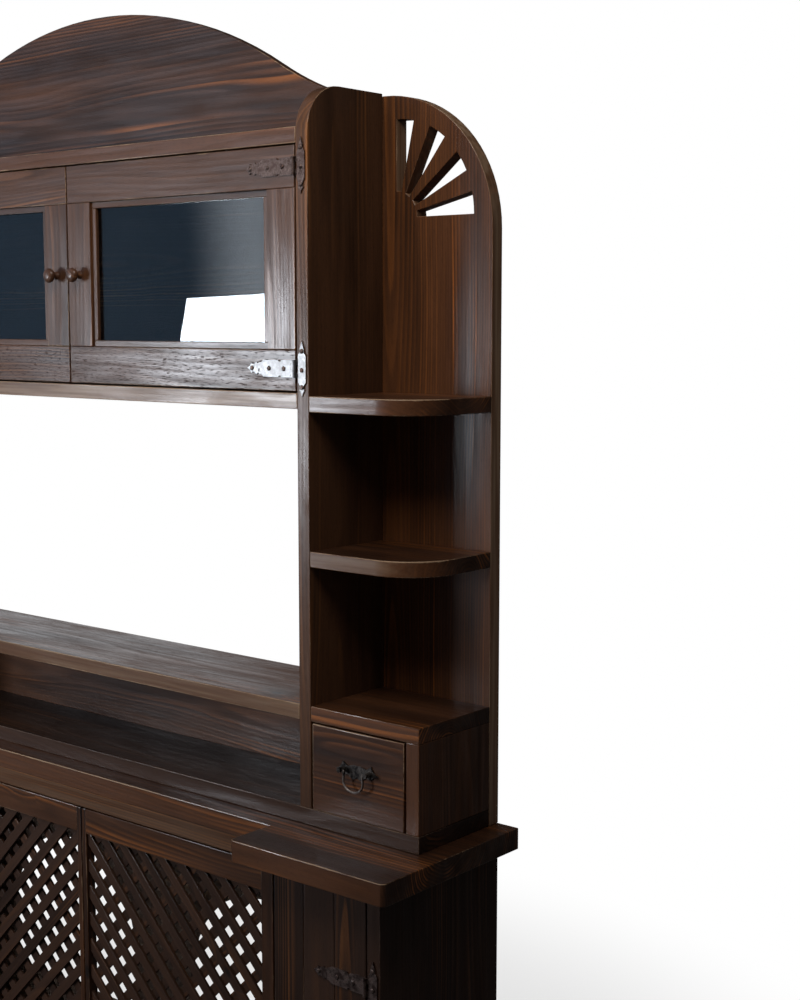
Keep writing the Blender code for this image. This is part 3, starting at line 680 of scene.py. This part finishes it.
KNOB_R = 0.014
KNOB_IN = STOCK - 0.003
PLANKS = 3
PLANK_TONE = -0.04
PLANK_STEP = 0.05
GROOVE = 0.0026
GROOVE_RUBBED = 0.006
LEDGE_WIDE = 0.054
LEDGE_UP = 3 * STOCK
LEDGE_DOWN = 5 * STOCK
for way, hand in ((1, "right"), (-1, "left")):
    node = hand + "_wing_door"
    low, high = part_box(node)
    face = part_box(hand + "_base_side")[0].y
    wide = (high.x - low.x) / PLANKS
    parts = []
    for i in range(PLANKS):
        left = low.x + i * wide
        parts.append(plank((left, face, low.z), (left + wide - HAIR, face + DOOR_THICK, high.z), Z, X,
                           PLANK_TONE + PLANK_STEP * (i % 2), node + str(i), GROOVE, GROOVE_RUBBED))
    for level in (low.z + LEDGE_UP, high.z - LEDGE_DOWN):
        parts.append(plank((low.x + STOCK, face + DOOR_THICK + HAIR, level),
                           (high.x - STOCK, face + 2 * DOOR_THICK, level + LEDGE_WIDE), X, Z,
                           -0.05, node + str(level)))
    inner = low.x + KNOB_IN if way == 1 else high.x - KNOB_IN
    parts.append(turned_knob(inner, face, (low.z + high.z) / 2, KNOB_R, 0.0, node + "_knob"))
    piece(joined(parts), hand + "_wing_planks", SAWN_AND_SHADED, "stained_pine", node)

# Glazed doors: rails run right across, stiles stand between them, and a slim bead holds the pane.
# Stained pine like the rest; the bead sits 5 mm below the face, butted at its corners.
# A turned knob stands on the inner stile of each door.
FRAMES = pine("frame_pine", deep=paint(41, 25, 17), body=paint(85, 54, 35), streak=paint(140, 88, 46),
              worn_and_highlit=WORN_AND_HIGHLIT, rough=0.40, coat=0.75, vivid=0.60)
GLASS_STILE = 0.066
GLASS_RAIL = 0.070
BEAD = 0.012
BEAD_SUNK = 0.005
BEAD_THICK = 0.007
BEAD_EASE = 0.0012
BEAD_RUBBED = 0.0022
RAIL_PITS = 1.0
for way, hand in ((1, "right"), (-1, "left")):
    node = hand + "_glass_door"
    low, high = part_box(node)
    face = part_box("cabinet_top")[0].y
    back = face + DOOR_THICK
    inner = (low.x + GLASS_STILE, high.x - GLASS_STILE)
    level = (low.z + GLASS_RAIL, high.z - GLASS_RAIL)
    stile = low.x + GLASS_STILE / 2 if way == 1 else high.x - GLASS_STILE / 2
    parts = [
        plank((low.x, face, low.z), (high.x, back, level[0]), X, Z, 0.03, node + "_low", pits=RAIL_PITS),
        plank((low.x, face, level[1]), (high.x, back, high.z), X, Z, 0.05, node + "_high"),
        plank((low.x, face, level[0] + HAIR), (inner[0], back, level[1] - HAIR), Z, X, 0.06, node + "_l"),
        plank((inner[1], face, level[0] + HAIR), (high.x, back, level[1] - HAIR), Z, X, 0.08, node + "_r"),
        turned_knob(stile, face, (low.z + high.z) / 2, KNOB_R, 0.04, node + "_knob"),
    ]
    sunk = (face + BEAD_SUNK, face + BEAD_SUNK + BEAD_THICK)
    for z in ((level[0], level[0] + BEAD), (level[1] - BEAD, level[1])):
        parts.append(plank((inner[0], sunk[0], z[0]), (inner[1], sunk[1], z[1]), X, Z, 0.10,
                           node + str(z[0]), BEAD_EASE, BEAD_RUBBED))
    for x in ((inner[0], inner[0] + BEAD), (inner[1] - BEAD, inner[1])):
        parts.append(plank((x[0], sunk[0], level[0] + BEAD), (x[1], sunk[1], level[1] - BEAD), Z, X, 0.10,
                           node + str(x[0]), BEAD_EASE, BEAD_RUBBED))
    piece(joined(parts), hand + "_glass_frame", FRAMES, "stained_pine", node)


# Panes: clear drawn glass, slightly blue, with an uneven film that takes a little of the light.
# Each lies behind its bead and is the CAD solid itself.
def pane_glass():
    """Clear glass with a faint, cloudy tint."""
    look, wire, shader = blank("pane_glass")
    spot = wire.node("ShaderNodeTexCoord", {}, {}, 3)
    film = spot.noise((7.0, 7.0, 11.0), 4.0, 0.6)
    tint = film.step(0.3, 0.8).blend(paint(204, 220, 226), paint(190, 207, 214))
    look.node_tree.links.new(tint.socket, shader.inputs["Base Color"])
    shader.inputs["Roughness"].default_value = 0.0
    shader.inputs["Transmission Weight"].default_value = 1.0
    shader.inputs["IOR"].default_value = 1.5
    return look


PANE = pane_glass()
for hand in ("right", "left"):
    slots = frame["nodes"][hand + "_pane"].data.materials
    slots.clear()
    slots.append(PANE)


# Strap hinges: stamped and filed iron leaves, tinned once, now dulled, with rust in the low places.
# A plate on the carcass and a strap on the door share a pin; round-headed screws hold both.
# The upper hinges have rusted further than the lower ones.
def old_iron(name, rust, dull, bright, rim, rough, decay):
    """Aged iron: bare metal between patches of brown oxide, which spread with decay."""
    look, wire, shader = blank(name)
    spot = wire.node("ShaderNodeTexCoord", {}, {}, 3)
    edge = wire.node("ShaderNodeAttribute", {"attribute_name": "edge"}, {}, 2)
    patch = spot.noise((70.0, 70.0, 70.0), 4.0, 0.65)
    pits = spot.noise((420.0, 420.0, 420.0), 3.0, 0.6)
    eaten = (patch * 0.75 + pits * 0.35 + decay).step(0.58, 0.72)
    # Rim colour, laid in patches where the edge value runs high: wear with painted highlight on the bright
    # irons, dirt with painted shadow on the tin.
    rubbed = (edge + (patch - 0.5) * 1.2).step(0.75, 1.1)
    colour = patch.step(0.35, 0.7).blend(dull, bright)
    colour = eaten.blend(colour, rust)
    colour = (rubbed * 0.7).blend(colour, rim)
    metal = 1 - eaten * 0.75 * (1 - rubbed)
    gloss = rough + eaten * 0.25 + (pits - 0.5) * 0.2
    bump = spot.node("ShaderNodeBump", {}, {"Strength": 0.18, "Distance": 0.0006,
                                           "Height": pits * 0.5 - eaten * 0.6 + patch * 0.4})
    tree = look.node_tree
    tree.links.new(colour.socket, shader.inputs["Base Color"])
    tree.links.new(metal.socket, shader.inputs["Metallic"])
    tree.links.new(gloss.socket, shader.inputs["Roughness"])
    tree.links.new(bump.socket, shader.inputs["Normal"])
    return look


def forged(node, look, slot, rubbed):
    """An iron piece with the CAD node's own shape, given so much rim colour: wear and painted light."""
    bm = welded(node)
    near = bm.verts.layers.float.new("edge")
    for v in bm.verts:
        v[near] = rubbed
    crisp(bm)
    piece(bm, node + "_iron", look, slot, node)


# The tin's dark rim is dirt with a painted shadow outline; the rusted iron's pale rim is wear with painted
# highlight.
TIN = old_iron("hinge_tin", rust=paint(76, 66, 60), dull=paint(120, 118, 117),
               bright=paint(150, 149, 148), rim=paint(52, 44, 40), rough=0.42, decay=-0.03)
RUSTED = old_iron("hinge_rusted", rust=paint(62, 41, 33), dull=paint(74, 57, 51),
                  bright=paint(128, 112, 105), rim=paint(158, 142, 134), rough=0.46, decay=0.06)
# The pull's dark body is partly painted shade under the bail; its pale rim is partly wear and partly
# painted highlight on the plate's top and the bail.
IRON = old_iron("pull_iron", rust=paint(32, 24, 20), dull=paint(36, 33, 32),
                bright=paint(112, 104, 98), rim=paint(140, 128, 120), rough=0.46, decay=0.04)
MM = 1000


def screw_tree():
    """Slotted screw heads, one on each point, each turned as the driver left it; sizes in millimetres."""
    tree, wire, taken = node_tree("slotted_screws", ["Radius", "Height", "Slot"])
    r = taken("Radius")
    tall = taken("Height")
    head = wire.node("GeometryNodeMeshCone", {},
                     {"Vertices": 18, "Side Segments": 2, "Radius Top": r * 0.55,
                      "Radius Bottom": r, "Depth": tall})
    sawn = wire.node("ShaderNodeCombineXYZ", {}, {0: r * 3, 1: taken("Slot"), 2: tall})
    blade = wire.node("GeometryNodeMeshCube", {}, {"Size": sawn})
    lift = wire.node("ShaderNodeCombineXYZ", {}, {2: tall * 1.1})
    raised = wire.node("GeometryNodeTransform", {}, {"Geometry": blade, "Translation": lift})
    cut = wire.node("GeometryNodeMeshBoolean", {"operation": "DIFFERENCE", "solver": "EXACT"},
                    {"Mesh 1": head, "Mesh 2": raised})
    spin = wire.node("FunctionNodeRandomValue", {"data_type": "FLOAT"}, {2: 0.0, 3: math.pi, "Seed": 7}, 1)
    turn = wire.node("ShaderNodeCombineXYZ", {}, {0: math.pi / 2, 1: spin})
    spots = wire.node("GeometryNodeInstanceOnPoints", {},
                      {"Points": taken("Geometry"), "Instance": cut, "Rotation": turn,
                       "Scale": [1 / MM] * 3})
    close_tree(wire, spots, taken)
    return tree


SCREWS = screw_tree()
SCREW_R = 0.0042
SCREW_TALL = 0.0014
SCREW_SLOT = 0.0009
STRAP_SCREWS = (0.027, 0.062, 0.103)
PLATE_SCREWS = (0.030, -0.002, -0.031)
LEAF_FRONT = 0.0025
# Rim colour on the hinge leaves: wear with painted highlight on rusted iron, dirt with painted shadow on
# tin.
LEAF_RIM_WEAR_AND_LIGHT = 0.55
PIN_IN = 0.0035
PLATE_MID = 0.015


def screws(name, body, spots):
    """Drives a screw at each spot, into what the body carries."""
    mesh = bpy.data.meshes.new(name)
    mesh.from_pydata(spots, [], [])
    obj = placed(name, mesh)
    grow(obj, SCREWS, {"Radius": SCREW_R * MM, "Height": SCREW_TALL * MM, "Slot": SCREW_SLOT * MM,
                       "Material": RUSTED})
    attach(obj, body)


held = []
for way, hand in ((1, "right"), (-1, "left")):
    for door in ("glass", "wing"):
        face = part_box("cabinet_top" if door == "glass" else hand + "_base_side")[0].y - LEAF_FRONT
        strapped = []
        for level in ("high", "low"):
            name = hand + "_" + door + "_" + level
            look = TIN if level == "low" else RUSTED
            forged(name + "_plate", look, "hinge_tin", LEAF_RIM_WEAR_AND_LIGHT)
            forged(name + "_strap", look, "hinge_tin", LEAF_RIM_WEAR_AND_LIGHT)
            low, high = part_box(name + "_strap")
            axis = (high.x if way == 1 else low.x) - way * PIN_IN
            middle = (low.z + high.z) / 2
            strapped += [(axis - way * d, face - SCREW_TALL / 2, middle) for d in STRAP_SCREWS]
            held += [(axis + way * PLATE_MID, face - SCREW_TALL / 2, middle + d) for d in PLATE_SCREWS]
        screws(hand + "_" + door + "_strap_screws", hand + "_" + door + "_door", strapped)
screws("plate_screws", "carcass", held)

# Drawers: a front with eased edges on a plain butted box that runs on the hutch floor.
# The front is stained and varnished, and has shrunk from its outer end; the box has no varnish.
# An iron plate with two posts is riveted to the front and carries a hanging bail.
# How much rim colour, wear with painted highlight, the pull's plate and bail take.
PLATE_RIM_WEAR_AND_HIGHLIGHT = 0.60
BAIL_RIM_WEAR_AND_HIGHLIGHT = 0.95
SHRUNK = 0.002
for way, hand in ((1, "right"), (-1, "left")):
    front = hand + "_drawer_front"
    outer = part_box(front)[1 if way == 1 else 0].x
    bm = lifted(front)
    for v in bm.verts:
        if abs(v.co.x - outer) < HAIR:
            v.co.x -= way * SHRUNK
    finished(bm, front, X, Z, tone=0.05, ease=0.0018, wear=1.0)
    board(hand + "_drawer_box", Y, X, tone=0.0, ease=0.0008, rubbed=0.002, look=BARE_INSIDE,
          slot="inner_pine")
    forged(hand + "_pull_plate", IRON, "pull_iron", PLATE_RIM_WEAR_AND_HIGHLIGHT)
    forged(hand + "_bail", IRON, "pull_iron", BAIL_RIM_WEAR_AND_HIGHLIGHT)

# Floor, lamps and white ground of a plain studio; none of them is part of the unit.
# The camera stands at the photograph's place: eye level, to the right of the unit.
FLOOR_R = 1.8
FLOOR_DROP = 0.0005
WHITE = (1, 1, 1, 1)
DIM = (0.03, 0.03, 0.03, 1)


def pale_floor():
    """Pale and plain, whiter to the camera, and fading into the white ground at its rim."""
    look, wire, shader = blank("pale_floor")
    spot = wire.node("ShaderNodeTexCoord", {}, {}, 3)
    speck = spot.noise((3.0, 3.0, 3.0), 3.0)
    tone = speck.blend(paint(236, 236, 235), paint(228, 228, 227))
    look.node_tree.links.new(tone.socket, shader.inputs["Base Color"])
    shader.inputs["Roughness"].default_value = 0.8
    seen = wire.node("ShaderNodeLightPath", {}, {}, 0)
    white = wire.node("ShaderNodeEmission", {}, {"Color": WHITE, "Strength": 1.0})
    lit = Wire(look.node_tree, shader.outputs[0])
    away = spot.node("ShaderNodeVectorMath", {"operation": "LENGTH"}, {0: spot}, 1)
    rim = away.step(0.55 * FLOOR_R, 0.98 * FLOOR_R)
    both = wire.node("ShaderNodeMixShader", {}, {0: seen * (0.70 + 0.30 * rim), 1: lit, 2: white})
    end = look.node_tree.nodes["Material Output"]
    look.node_tree.links.new(both.socket, end.inputs["Surface"])
    return look


bm = bmesh.new()
bmesh.ops.create_circle(bm, cap_ends=True, segments=96, radius=FLOOR_R)
mesh = settled(bm, "floor")
mesh.materials.append(pale_floor())
floor = placed("floor", mesh)
floor.location.z = -FLOOR_DROP
floor.visible_diffuse = False
floor.visible_glossy = False
floor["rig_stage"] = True


def lamp(name, place, aim, wide, tall, watts, tint, mirrored=True):
    """A softbox that faces a point."""
    light = bpy.data.lights.new(name, "AREA")
    light.shape = "RECTANGLE"
    light.size = wide
    light.size_y = tall
    light.energy = watts
    light.color = tint
    obj = placed(name, light)
    obj.location = place
    obj.rotation_euler = (Vector(aim) - Vector(place)).to_track_quat("-Z", "Y").to_euler()
    obj.visible_camera = False
    obj.visible_glossy = mirrored


lamp("overhead", place=(0.9, -1.2, 2.9), aim=(0.6, 0.1, 1.6), wide=1.6, tall=0.8, watts=29,
     tint=(1.0, 0.98, 0.96))
lamp("rear", place=(-1.5, 2.5, 1.4), aim=(0.0, 0.18, 1.0), wide=2.0, tall=1.4, watts=42,
     tint=(1.0, 0.98, 0.95), mirrored=False)

# The window's four corners, as its picture in the pane shows them
WINDOW_Y = -2.2
WINDOW = [(-2.036, 1.716), (-2.20, 1.08), (-1.12, 1.08), (-1.12, 1.745)]
DAYLIGHT = (0.86, 0.92, 1.0, 1)
DAY_STRENGTH = 27.0
sky = bpy.data.materials.new("window_sky")
sky.use_nodes = True
sky.node_tree.nodes.remove(sky.node_tree.nodes["Principled BSDF"])
wire = Wire(sky.node_tree)
glow = wire.node("ShaderNodeEmission", {}, {"Color": DAYLIGHT, "Strength": DAY_STRENGTH})
sky.node_tree.links.new(glow.socket, sky.node_tree.nodes["Material Output"].inputs["Surface"])
mesh = bpy.data.meshes.new("window")
mesh.from_pydata([(x, WINDOW_Y, z) for x, z in WINDOW], [], [range(len(WINDOW))])
mesh.materials.append(sky)
window = placed("window", mesh)
window.visible_camera = False
window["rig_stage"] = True

# The room by direction, as polished faces mirror it; straight rays see the white ground
BLUE_WALL = (0.16, 0.235, 0.34, 1)
DARK_WALL = (0.02, 0.02, 0.02, 1)
CURTAIN = (1.7, 1.8, 2.0, 1)
REAR_WALL = (0.95, 1.0, 1.05, 1)
AMBIENT = (0.07, 0.07, 0.075, 1)
world = bpy.data.worlds.new("studio")
bpy.context.scene.world = world
world.use_nodes = True
wire = Wire(world.node_tree)
heading = wire.node("ShaderNodeTexCoord", {}, {}, 0)
right, behind, above = [wire.node("ShaderNodeSeparateXYZ", {}, {0: heading}, i) for i in range(3)]
camera_ray = wire.node("ShaderNodeLightPath", {}, {}, "Is Camera Ray")
glossy_ray = wire.node("ShaderNodeLightPath", {}, {}, "Is Glossy Ray")
through_ray = wire.node("ShaderNodeLightPath", {}, {}, "Is Transmission Ray")
scattered = wire.node("ShaderNodeLightPath", {}, {}, "Diffuse Depth")
mirrored = wire.node("ShaderNodeLightPath", {}, {}, "Glossy Depth")
curtain = right.step(-0.735, -0.705) * (1 - right.step(-0.705, -0.672))
front = right.step(-0.50, 0.10).blend(BLUE_WALL, DARK_WALL)
front = curtain.blend(front, CURTAIN)
rear = right.step(-0.74, -0.62).blend(REAR_WALL, DIM)
rear = above.step(0.235, 0.27).blend(rear, DIM)
room = behind.step(-0.20, 0.20).blend(front, rear)
room = above.step(-0.22, -0.05).blend(DIM, room)
ambient = glossy_ray.blend(AMBIENT, room)
straight = through_ray * (1 - (scattered + mirrored).step(0.0, 1.0))
ground = wire.math("MAXIMUM", camera_ray, straight).blend(ambient, WHITE)
back = world.node_tree.nodes["Background"]
world.node_tree.links.new(ground.socket, back.inputs["Color"])
back.inputs["Strength"].default_value = 1.0

# Where the photograph was taken from, solved from its edges
EYE = (2.4453, -1.9881, 1.6357)
YAW = math.radians(39.6498)
PITCH = math.radians(6.53835)
FOCAL = 56.675
SENSOR = 36.0
lens = bpy.data.cameras.new("camera")
lens.sensor_fit = "VERTICAL"
lens.sensor_height = SENSOR
lens.lens = FOCAL
camera = placed("camera", lens)
camera.location = EYE
ahead = Vector((-math.sin(YAW) * math.cos(PITCH), math.cos(YAW) * math.cos(PITCH), -math.sin(PITCH)))
camera.rotation_euler = ahead.to_track_quat("-Z", "Y").to_euler()
bpy.context.scene.camera = camera
bpy.context.scene.view_settings.view_transform = "Standard"

low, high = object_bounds()
